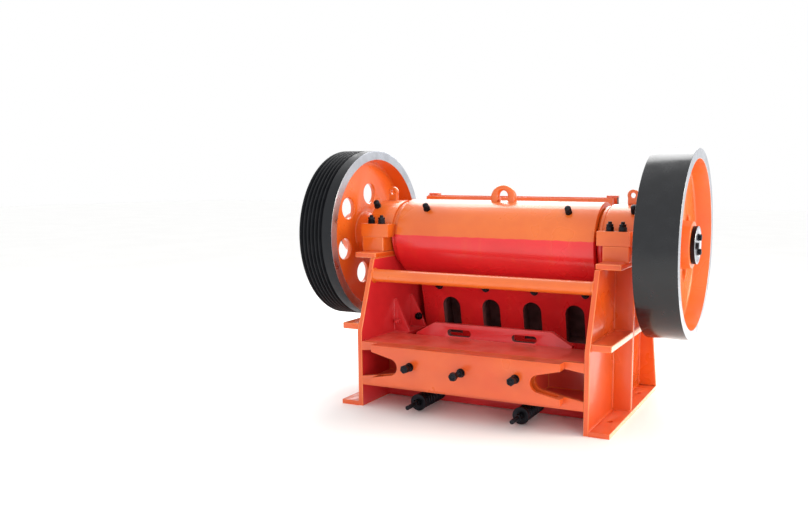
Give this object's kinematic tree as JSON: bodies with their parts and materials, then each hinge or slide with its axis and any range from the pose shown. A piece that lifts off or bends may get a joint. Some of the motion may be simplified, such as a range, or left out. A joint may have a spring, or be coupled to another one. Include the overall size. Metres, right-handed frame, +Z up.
{
  "type": "jaw crusher",
  "caption": "Single-toggle fine jaw crusher: welded frame with a feed mouth between two toothed jaws, swung by an eccentric shaft with flywheel and belt sheave.",
  "frame": {"origin": "centre of the four foundation bolt holes, on the floor, straight under the shaft", "axes": "+X along the shaft towards the flywheel, +Y towards the feed side and the fixed jaw, +Z up"},
  "size_m": [2.189, 1.333, 1.4355],
  "materials": {
    "orange_enamel": "gloss",
    "red_enamel": "gloss",
    "pitman_enamel": "gloss",
    "wheel_enamel": "gloss",
    "machined_steel": "brushed",
    "manganese_steel": "matt",
    "black_steel": "satin",
    "shaft_steel": "satin"
  },
  "bodies": {
    "frame": {"adjusting_bolts": "black_steel", "beam_box": "orange_enamel", "beam_face": "orange_enamel", "beam_wall": "orange_enamel", "bearing_cap_left": "orange_enamel", "bearing_cap_right": "orange_enamel", "bearing_housing_left": "orange_enamel", "bearing_housing_right": "orange_enamel", "cap_bolts": "black_steel", "cap_eyes": "orange_enamel", "cheek_plate_left": "manganese_steel", "cheek_plate_right": "manganese_steel", "fixed_jaw_plate": "manganese_steel", "foot_flange_left": "orange_enamel", "foot_flange_right": "orange_enamel", "front_wall": "orange_enamel", "front_wall_ribs": "orange_enamel", "guide_bracket_left": "red_enamel", "guide_bracket_right": "red_enamel", "seal_rings": "orange_enamel", "seat_plate_left": "orange_enamel", "seat_plate_right": "orange_enamel", "shelf_ribs": "orange_enamel", "shim_pack": "red_enamel", "side_wall_left": "orange_enamel", "side_wall_right": "orange_enamel", "spring_seat_bar": "orange_enamel", "tension_rods": "black_steel", "tension_springs": "black_steel", "tie_tube": "orange_enamel", "toggle_block": "red_enamel", "toggle_plate": "red_enamel", "upright_ribs": "orange_enamel"},
    "rotor": {"eccentric_shaft": "shaft_steel", "flywheel_rim": "wheel_enamel", "flywheel_web": "orange_enamel", "flywheel_hub": "orange_enamel", "sheave_rim": "wheel_enamel", "sheave_web": "orange_enamel", "sheave_hub": "orange_enamel", "end_plates": "machined_steel"},
    "pitman": {"pitman": "pitman_enamel", "swing_jaw_plate": "manganese_steel", "pitman_seat": "manganese_steel", "lifting_ring": "orange_enamel"}
  },
  "joints": [
    {"name": "shaft_spin", "type": "hinge", "parent": "frame", "child": "rotor", "pos_m": [0, 0, 0.9355], "axis": [1, 0, 0], "continuous": true},
    {"name": "pitman_swing", "type": "hinge", "parent": "rotor", "child": "pitman", "pos_m": [0, 0, 0.9255], "axis": [1, 0, 0], "continuous": true}
  ],
  "couplings": [
    {"joint": "pitman_swing", "follows": "shaft_spin", "ratio": -1}
  ]
}
